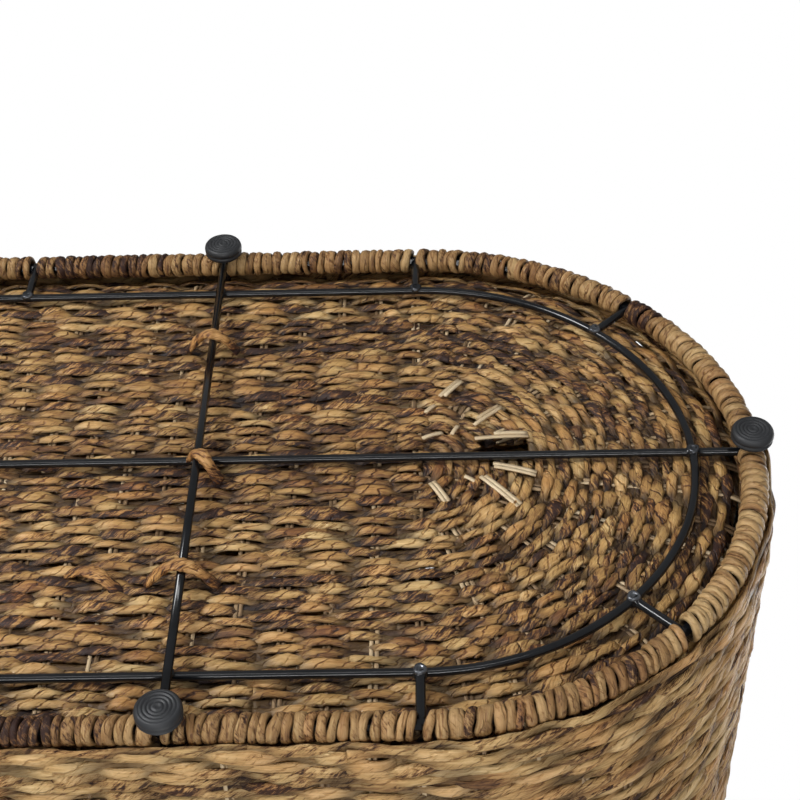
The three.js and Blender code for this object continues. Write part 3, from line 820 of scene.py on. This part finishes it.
def strand_rows(rows, profile, look):
    """The strands of a group of rows. Each row is (its number, its distance along the profile, its
    splint spaces round an end). The middle of a strand swings to and fro across the panel as
    a cosine of its place among the splints, half a turn on from the rows beside it. Its
    section is an ellipse, wide and flat over a splint and narrow between two, with lobes
    that turn as the twist does. Every row is made of lengths that butt between splints. A
    hole (x from, x to, y from, y to) in the look is a place that the strands leave open."""
    tubes, pattern = [], []
    up = np.array([0, 0, 1.0])
    for number, distance, arc_stakes in rows:
        total = 2 * (arc_stakes + SIDE_STAKES)
        wide = np.clip(rng.normal(1, look["uneven"], total), 0.62, 1.45)
        thick = np.clip(rng.normal(1, 0.12, total), 0.7, 1.2)
        lift = rng.normal(0, 0.0003, total)
        shift = rng.normal(0, look["wander"], total) + drawn_out(total, 4) * look["wander"]
        tone = (look["tone"] + 0.07 * rng.normal() + 0.06 * drawn_out(total, 3)
                + 0.07 * rng.normal(0, 1, total))
        dark = look["stain"] * (1 + 1.1 * drawn_out(total, 1.3) + 0.5 * rng.normal())
        dark = np.clip(dark, 0, look["darkest"])
        red = np.clip(rng.normal(0.25, 0.25, total), 0, 1)
        stray = look["stray"] * (rng.normal(0, 1, total) + 0.7 * drawn_out(total, 4))
        ropey = rng.uniform() < look["ropey"]
        lump_size, lump_height = (look["lump"] * 0.5, 0.15) if ropey else (look["lump"], 0.07)
        cuts = butt_places(arc_stakes)
        for start, end in zip(cuts[:-1], cuts[1:]):
            turns = np.linspace(start, end, int(round((end - start) * look["rings"])) + 1)
            swing = np.cos(np.pi * (turns + number + eased(stray, turns)))
            s = distance + eased(shift, turns)
            radius, height, run_out, run_up = profile(s)
            path, outward, onward = stake_plan(turns, radius, arc_stakes)
            path[:, 2] = height
            across = (outward * run_out[:, None] + up * run_up[:, None]) * look["face"]
            normal = (outward * run_up[:, None] - up * run_out[:, None]) * look["face"]
            over = np.abs(swing) ** 0.8
            path = path + normal * (np.sign(swing) * over * look["swing"]
                                    + eased(lift, turns) * over)[:, None]
            along = distance_along(path) + rng.uniform(0, 30)
            lump = np.sin(along * (2 * np.pi / lump_size) + rng.uniform(0, 6))
            size = look["narrow"] + (look["wide"] * eased(wide, turns) - look["narrow"]) * over
            size = size * (1 + lump_height * lump)
            depth = look["thick"] * eased(thick, turns) * (1 - lump_height * lump)
            angle = np.linspace(0, 2 * np.pi, look["sides"], endpoint=False)
            lobe = 1 + look["lobe"] * np.cos(2 * angle[None, :] - (along * look["turn"])[:, None])
            tube = sweep(path, across, normal, size[:, None] * lobe, depth[:, None] * lobe,
                         look["sides"])
            # Painted shade: a strand's face turned in against the splints, its flanks, and all of
            # it between two splints, are darkened in colour as the gaps between rows would be
            # shaded.
            proud = np.sin(angle)[None, :] * (np.sign(swing) * over)[:, None]
            unshaded = np.clip(1 + look["gap_shading"] * (1.12 * proud - 1), 0.08, 1)
            leaf = leaf_numbers(tube.shape[:2], *(eased(values, turns)[:, None] for values
                                                  in (tone, dark, red)), unshaded)
            around = np.linspace(0, 2.6 * (look["wide"] + look["thick"]), look["sides"] + 1)
            for run in clear_runs(path, look["hole"]):
                tubes.append(tube[run])
                pattern.append((along[run], around, leaf[run]))
    return tubes, pattern


def strand_pieces(name, rows, per_piece, profile, look, material, body, replaced):
    """The rows of a panel as several pieces of a few rows each."""
    for part, first in enumerate(range(0, len(rows), per_piece)):
        tubes, pattern = strand_rows(rows[first:first + per_piece], profile, look)
        tube_piece(f"{name}_{part + 1:02d}", tubes, material, body, replaced,
                   pattern=pattern)


twisted_leaf = leaf_material("twisted_leaf", (
    (0.032, 0.012, 0.008), (0.180, 0.076, 0.024), (0.510, 0.300, 0.100), (0.88, 0.64, 0.31)),
    95.0, 0.66, 0.55, 1.0, 0.0011, 0.5)
# In each look, the number for gap shading sets how strongly painted shade darkens the strands
# between rows.
base_look = {"face": 1, "rings": 9, "sides": 8, "swing": 0.0021, "wide": 0.0034, "narrow": 0.0027,
             "thick": 0.0016, "uneven": 0.25, "wander": 0.0005, "tone": 0.58, "stain": 0.28,
             "darkest": 0.62, "stray": 0.20, "gap_shading": 0.66, "lobe": 0.11, "lump": 0.014,
             "turn": 260.0, "ropey": 0.3, "hole": HUB_HOLE}
# Two rows just inside the rim are left out, so a gap stays open there.
BASE_ROWS = [number for number in range(54) if number not in (47, 48)]
base_rows = [(number, BASE_PITCH * (number + 0.5), end_spaces(BASE_PITCH * (number + 0.5)))
             for number in BASE_ROWS]
strand_pieces("base_strands", base_rows, 8, bottom_profile, base_look, twisted_leaf, "trunk",
              ["bottom_weave"])

# ---------------------------------------------------------------------------------------------
# Wall. The same leaf, left flatter and wider, woven in level rows round the standing splints
# from the base rim up to the top rim.
# ---------------------------------------------------------------------------------------------
WALL_PITCH = 0.0048
wall_leaf = leaf_material("flat_leaf", (
    (0.060, 0.028, 0.018), (0.300, 0.158, 0.064), (0.620, 0.390, 0.158), (0.90, 0.65, 0.33)),
    56.0, 0.65, 0.75, 0.85, 0.0015, 0.16)
NO_HOLE = (1.0, 1.0, 1.0, 1.0)
wall_look = {"face": 1, "rings": 9, "sides": 6, "swing": 0.0012, "wide": 0.0050, "narrow": 0.0040,
             "thick": 0.0017, "uneven": 0.22, "wander": 0.0008, "tone": 0.62, "stain": 0.20,
             "darkest": 0.8, "stray": 0.24, "gap_shading": 0.44, "lobe": 0.16, "lump": 0.017,
             "turn": 190.0, "ropey": 0.3, "hole": NO_HOLE}
WALL_ROWS = int(WALL_HEIGHT / WALL_PITCH)
wall_rows = [(number, WALL_HEIGHT * (number + 0.5) / WALL_ROWS, ARC_STAKES)
             for number in range(WALL_ROWS)]
strand_pieces("wall_strands", wall_rows, 7, wall_profile, wall_look, wall_leaf, "trunk",
              ["side_weave"])
# A thinner row beyond each edge tucks the wall in behind the rim wraps.
HEM = 0.0030
hem_look = dict(wall_look, swing=0.0008, wide=0.0044, narrow=0.0038, thick=0.0015, wander=0.0004)
hem_rows = [(-1, -HEM, ARC_STAKES), (WALL_ROWS, WALL_HEIGHT + HEM, ARC_STAKES)]
strand_pieces("wall_hem_strands", hem_rows, 2, wall_profile, hem_look, wall_leaf, "trunk",
              ["side_weave"])

# ---------------------------------------------------------------------------------------------
# Rim wraps. One strand wound round each ring rod, turn beside turn, with breaks only where
# stubs, cross wires, feet and hinge leaves reach the rod.
# ---------------------------------------------------------------------------------------------
WRAP_THICK = 0.0019
WRAP_HOLE = 0.0026      # half of the break left for a wire
LOOP_PITCH = 0.0057     # how much of the rod one loop covers


def rim_length():
    """The length of a ring rod's centre line."""
    return 4 * HALF_STRAIGHT + 2 * np.pi * RIM_RADIUS


def rim_place(distance):
    """The point on a ring rod's centre line at a distance from the front of the right-hand end,
    the outward direction, and the direction in which it runs."""
    arc, straight = np.pi * RIM_RADIUS, 2 * HALF_STRAIGHT
    along = np.mod(distance, arc + straight)
    turns = np.where(along < arc, along / arc * ARC_STAKES,
                     ARC_STAKES + (along - arc) / straight * SIDE_STAKES)
    turns += np.where(np.mod(distance, rim_length()) >= arc + straight,
                      ARC_STAKES + SIDE_STAKES, 0)
    return stake_plan(turns, np.full(len(turns), RIM_RADIUS), ARC_STAKES)


def rim_distance(end_side, degrees, x=None):
    """The distance round the rim of a direction from an end's centre, or of a place x along the
    straight front (degrees -90) or back (degrees 90)."""
    arc, straight = np.pi * RIM_RADIUS, 2 * HALF_STRAIGHT
    if x is not None:
        start = arc if degrees == 90 else 2 * arc + straight
        return start + (HALF_STRAIGHT - x if degrees == 90 else HALF_STRAIGHT + x)
    start = 0 if end_side == 1 else arc + straight
    angle = degrees + 90 if end_side == 1 else degrees - 90
    return start + math.radians(angle) * RIM_RADIUS


def wrap_loops(breaks, height, outer, sides, section, brown_runs=()):
    """Loops wound round a ring rod at a height. Between two breaks, each (distance, half width),
    loops of uneven width fill the length exactly. Each is a closed strand round the rod, whose
    section is an ellipse: as wide as its share of the rod, with a slight lean and some
    unevenness in how far it stands out. Each of brown_runs (distance, length, strength) is a
    stretch where the leaf is browner, or paler where the strength is below zero, and fades to
    both sides as exp(-(gap/length)²)."""
    breaks = sorted(breaks)
    total = rim_length()
    centre, width = [], []
    for (here, half), (there, next_half) in zip(breaks, breaks[1:] + [
            (breaks[0][0] + total, breaks[0][1])]):
        start, end = here + half, there - next_half
        count = max(1, round((end - start) / LOOP_PITCH))
        share = np.clip(rng.normal(1, 0.2, count), 0.6, 1.6)
        edges = start + np.concatenate([[0], np.cumsum(share / share.sum() * (end - start))])
        centre.append((edges[1:] + edges[:-1]) / 2)
        width.append(np.diff(edges))
    centre, width = np.concatenate(centre), np.concatenate(width)
    tubes, pattern = [], []
    angle = np.linspace(0, 2 * np.pi, sides, endpoint=False)
    lean = np.clip(rng.normal(0.0014, 0.0009, len(centre)), -0.0010, 0.0032)
    for middle, wide, tilt in zip(centre, width, lean):
        where = middle + tilt * np.cos(angle + rng.uniform(-0.6, 0.6))
        place, outward, onward = rim_place(where)
        place[:, 2] = height
        spoke = outward * np.cos(angle)[:, None] + np.array([0, 0, -1.0]) * np.sin(angle)[:, None]
        bulk = rng.normal(0, 0.00025) + 0.00018 * np.sin(angle * 2 + rng.uniform(0, 6))
        reach = outer - WRAP_THICK - 0.0002 + np.clip(bulk, -0.0006, 0.0002)
        path = place + spoke * reach[:, None]
        half = wide * 0.53 * (1 + 0.10 * np.sin(angle * 3 + rng.uniform(0, 6)))
        tubes.append(sweep(path, spoke, -onward, WRAP_THICK, half, section))
        along = np.linspace(0, 2 * np.pi * outer, sides + 1) + rng.uniform(0, 30)
        brown = sum(strength * np.exp(-((middle - run) / length) ** 2)
                    for run, length, strength in brown_runs)
        tone = np.clip(rng.normal(0.66, 0.09) - 0.26 * brown, 0.2, 0.9)
        dark = np.clip(rng.normal(0.18, 0.2) + 0.5 * brown, 0, 0.75)
        tone = tone + 0.05 * np.sin(angle + rng.uniform(0, 6))[:, None]
        # Painted shade: each loop's colour darkens towards its sides and most on the side that lies
        # against the rod.
        corner = np.linspace(0, 2 * np.pi, section, endpoint=False)[None, :]
        unshaded = np.clip(0.30 + 0.85 * np.cos(corner), 0.08, 1)
        leaf = leaf_numbers((sides, section), tone, dark, max(0.0, rng.normal(0.1, 0.2)),
                            unshaded)
        pattern.append((along, np.linspace(0, wide * 2.2, section + 1), leaf))
    return tubes, pattern


rim_leaf = leaf_material("wound_leaf", (
    (0.036, 0.016, 0.011), (0.150, 0.070, 0.028), (0.320, 0.180, 0.070), (0.60, 0.405, 0.19)),
    30.0, 0.65, 0.50, 0.9, 0.0010)

wrap_low, wrap_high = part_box("base_rim_wrap")
WRAP_OUTER = (wrap_high.z - wrap_low.z) / 2
base_breaks = [(rim_distance(end_side, middle + turned), WRAP_HOLE)
               for end_side, middle in ((1, 0), (-1, 180)) for turned in (-45, 0, 45)]
base_breaks += [(rim_distance(0, degrees, x), WRAP_HOLE) for degrees in (-90, 90)
                for x in (-HALF_STRAIGHT, -CROSS_X, 0.0, CROSS_X, HALF_STRAIGHT)]
# Where the base's wrap is browner or, below zero, paler.
brown_runs = [(rim_distance(0, 90, 0.040), 0.042, 1.0), (rim_distance(1, -42), 0.022, 1.0),
              (rim_distance(1, -55), 0.02, 0.5), (rim_distance(0, -90, 0.05), 0.04, 0.7),
              (rim_distance(0, 90, -0.21), 0.05, 0.8), (rim_distance(-1, 200), 0.05, 0.8),
              (rim_distance(1, 38), 0.035, -0.9), (rim_distance(1, 12), 0.04, -0.7),
              (rim_distance(1, -25), 0.03, -0.6)]
loops, pattern = wrap_loops(base_breaks, BASE_HEIGHT, WRAP_OUTER, 24, 8, brown_runs)
tube_piece("base_rim_loops", loops, rim_leaf, "trunk", ["base_rim_wrap"],
           closed=True, pattern=pattern)

# The top rim's wrap: breaks for the six uprights and for the two hinge leaves.
HINGE_BREAK = 0.0158
HINGE_X = box_middle("hinge_right_body_leaf")[0]
top_breaks = [(rim_distance(1, 0), WRAP_HOLE), (rim_distance(-1, 180), WRAP_HOLE)]
top_breaks += [(rim_distance(0, degrees, x), WRAP_HOLE) for degrees in (-90, 90)
               for x in (-CROSS_X, CROSS_X)]
hinge_breaks = [(rim_distance(0, 90, x), HINGE_BREAK) for x in (-HINGE_X, HINGE_X)]
# A hinge leaf's break swallows the upright's beside it.
top_breaks = [(place, half) for place, half in top_breaks
              if all(abs(place - there) > HINGE_BREAK for there, _ in hinge_breaks)]
loops, pattern = wrap_loops(top_breaks + hinge_breaks, box_middle("top_ring_rod")[2], WRAP_OUTER,
                            16, 6, [(0.4, 0.06, 0.8), (1.3, 0.05, 0.9)])
tube_piece("top_rim_loops", loops, rim_leaf, "trunk", ["top_rim_wrap"], closed=True,
           pattern=pattern)

# ---------------------------------------------------------------------------------------------
# Ties. Short twisted strands that come out of the base, pass over a cross wire and go back in,
# so that the base hangs on the frame. One loose strand bows out of the weave by itself.
# ---------------------------------------------------------------------------------------------
# Each tie's middle, beside the cross wire and from the middle line, its direction and its reach.
TIE_PLACES = {"front": (-0.001, -0.1055, 3, 0.0155), "middle": (0.003, 0.0060, 38, 0.0130),
              "back": (-0.0005, 0.0935, 4, 0.0195)}
TIE_LOW = 0.0069        # height of an arch's lowest point
TIE_RISE = 0.0150
TIE_SECTION = (0.0041, 0.0023)      # how wide and how thick an arch is drawn


def arch(centre, degrees, reach, low, rise, wide, thick):
    """A strand that bows down out of the base: t runs from -1 to 1 along its reach, and its
    height is low + rise·|t|^1.8. Its lobed section turns along it."""
    t = np.linspace(-1, 1, 41)
    angle = math.radians(degrees)
    run = np.array([math.cos(angle), math.sin(angle), 0.0])
    beside = np.array([-run[1], run[0], 0.0])
    path = (np.array([centre[0], centre[1], low]) + run * (t * reach)[:, None]
            + np.array([0, 0, 1.0]) * (rise * np.abs(t) ** 1.8)[:, None]
            + beside * (0.0007 * np.sin(2.5 * t + centre[1] * 50))[:, None])
    tangent = np.gradient(path, axis=0)
    tangent /= np.linalg.norm(tangent, axis=1)[:, None]
    normal = np.cross(beside[None, :], tangent)
    normal /= np.linalg.norm(normal, axis=1)[:, None]
    corner = np.linspace(0, 2 * np.pi, 12, endpoint=False)[None, :]
    lobe = 1 + 0.12 * np.cos(2 * corner - 7 * t[:, None]) + 0.05 * np.sin(26 * t)[:, None]
    size = wide * (1 - 0.2 * np.abs(t[:, None]) ** 2) * lobe
    return sweep(path, np.cross(normal, tangent), normal, size, thick * lobe, 12)


def arch_pattern(tube, tone, dark, red):
    """The strand map and leaf numbers of one arch. Towards both ends, where it goes into the weave,
    it grows darker: its stain number rises and painted shade darkens it.
    """
    along = distance_along(tube[:, 0]) + rng.uniform(0, 30)
    t = np.linspace(-1, 1, len(tube))[:, None]
    return along, np.linspace(0, 0.014, tube.shape[1] + 1), leaf_numbers(
        tube.shape[:2], tone + 0.08 * np.sin(5 * t), dark + 0.5 * t ** 4, red, 1.0 - 0.3 * t ** 4)


for side_name, side_sign in (("left", -1), ("right", 1)):
    for tie_name, (x, y, degrees, reach) in TIE_PLACES.items():
        tie = arch((side_sign * CROSS_X + x, y), degrees, reach, TIE_LOW, TIE_RISE,
                   *TIE_SECTION)
        tube_piece(f"tie_strand_{side_name}_{tie_name}", [tie], twisted_leaf, "trunk",
                   [f"tie_{side_name}_{tie_name}"],
                   pattern=[arch_pattern(tie, rng.uniform(0.52, 0.62), 0.3, 0.65)])
loose = arch((0.0785, 0.0885), 27, 0.0175, 0.0172, 0.0085, 0.0044, 0.0017)
tube_piece("base_loose_strand", [loose], twisted_leaf, "trunk", ["bottom_weave"],
           pattern=[arch_pattern(loose, 0.55, 0.35, 0.6)])

# ---------------------------------------------------------------------------------------------
# Splint ends. Where the splints of the round ends start, near the middle line, some of their
# cut ends lie bare on the weave.
# ---------------------------------------------------------------------------------------------
# Each end: from and to (x past the end's centre, y), mm, and the sideways and lengthwise step to
# the second splint of its pair, or none.
BARE_ENDS = [((34, -19), (66, -23), (-2.6, 12)), ((44, 2.5), (69, 8.5), (2.4, 1.0)),
             ((39, 13), (58.5, 34.5), (2.5, -1.5)), ((34, -31), (51.5, -49), (-2.4, 6)),
             ((17, -58), (28, -74), (-2.3, -2)), ((9, 17), (17.5, 31), (2.4, 0)),
             ((27, 13), (34, 16.5), None), ((5, -43), (11, -52), None),
             ((20.5, -23), (24.5, -33), None), ((3, -20), (15, -27), None)]


BARE_HEIGHT = 0.0217    # height at which a bare end starts, and how far its tip rises
BARE_RISE = 0.0022
BARE_HALF = 0.00115


def bare_splints(mirror):
    """The bare splint ends of one round end, as flat bars. mirror is 1 on the right and turns
    them half round the middle of the base for -1."""
    tubes = []
    for start, end, step in BARE_ENDS:
        start, end = np.array(start) / 1000, np.array(end) / 1000
        along = (end - start) / np.linalg.norm(end - start)
        aside = np.array([-along[1], along[0]])
        pairs = [(start, end)]
        if step:
            move = aside * step[0] / 1000
            pairs.append((start + move + along * step[1] / 1000, end + move))
        for first, last in pairs:
            t = np.linspace(0, 1, 7)
            flat = first + (last - first) * t[:, None]
            path = np.stack([(HALF_STRAIGHT + flat[:, 0]) * mirror, flat[:, 1] * mirror,
                             BARE_HEIGHT + BARE_RISE * t ** 2], axis=-1)
            run = np.array([*(last - first), 0.0]) / np.linalg.norm(last - first) * mirror
            down = np.array([0, 0, -1.0])
            many = np.ones((7, 1))
            tubes.append(flat_bar(path, many * down, many * np.cross(run, down), BARE_HALF))
    return tubes


bare_ends = bare_splints(1) + bare_splints(-1)
tube_piece("base_bare_splint_ends", bare_ends, pale_cane, "trunk",
           ["bottom_weave"], pattern=plain_pattern(bare_ends, 0.80, 0.12))

# ---------------------------------------------------------------------------------------------
# Lid. Two hoops on a ring rod, with its own splints and strands woven from the middle line out
# and down over the edge, and a wrapped rim. The hoops keep their CAD shape.
# ---------------------------------------------------------------------------------------------
LID_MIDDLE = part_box("lid_weave")[1].z - PANEL_HALF
LID_FLAT = 0.17525      # end radius at which the lid starts to turn down
LID_BEND = 0.028
LID_PITCH = 0.0048
LID_EDGE = 0.2300       # distance from the middle line down to the skirt's edge


def lid_profile(s):
    """Radius and height of the lid's middle surface at a distance s from its middle line, and
    the direction in which it runs: flat, then bent down through a quarter turn, then down."""
    bend = np.clip((s - LID_FLAT) / LID_BEND, 0, np.pi / 2)
    below = np.maximum(s - LID_FLAT - LID_BEND * np.pi / 2, 0)
    radius = np.minimum(s, LID_FLAT) + LID_BEND * np.sin(bend)
    height = LID_MIDDLE - LID_BEND * (1 - np.cos(bend)) - below
    return radius, height, np.cos(bend), -np.sin(bend)


lid_splints = panel_splints(lid_profile, LID_EDGE, -1)
tube_piece("lid_splints", lid_splints, pale_cane, "lid",
           pattern=plain_pattern(lid_splints, 0.40, 0.26))
lid_look = dict(wall_look, rings=7, face=-1, swing=0.0014, wide=0.0047, narrow=0.0038,
                thick=0.0017)
lid_rows = [(number, LID_PITCH * (number + 0.5), end_spaces(LID_PITCH * (number + 0.5)))
            for number in range(int(LID_EDGE / LID_PITCH) + 1)]
strand_pieces("lid_strands", lid_rows, 8, lid_profile, lid_look, wall_leaf, "lid", ["lid_weave"])

lid_breaks = hinge_breaks + [(rim_distance(0, -90, x), WRAP_HOLE) for x in (-CROSS_X, CROSS_X)]
loops, pattern = wrap_loops(lid_breaks, box_middle("lid_ring_rod")[2], WRAP_OUTER, 16, 6,
                            [(0.9, 0.06, 0.9), (1.9, 0.05, 0.8)])
tube_piece("lid_rim_loops", loops, rim_leaf, "lid", ["lid_rim_wrap"], closed=True,
           pattern=pattern)
finish_cad(["lid_hoop_left", "lid_hoop_right"], black_coat)

# ---------------------------------------------------------------------------------------------
# Hinges. Two zinc-plated steel butt hinges on the back, each with a leaf on each rim's rod and
# a pin through both. Their CAD shape is final.
# ---------------------------------------------------------------------------------------------
zinc = coat_material("zinc_plated_steel", (0.30, 0.30, 0.29, 1), (0.46, 0.46, 0.44, 1), 0.3, 0.5,
                     700.0, 0.0001, 1.0)
finish_cad([f"hinge_{side_name}_{part}" for side_name in ("left", "right")
            for part in ("body_leaf", "lid_leaf", "pin")], zinc)
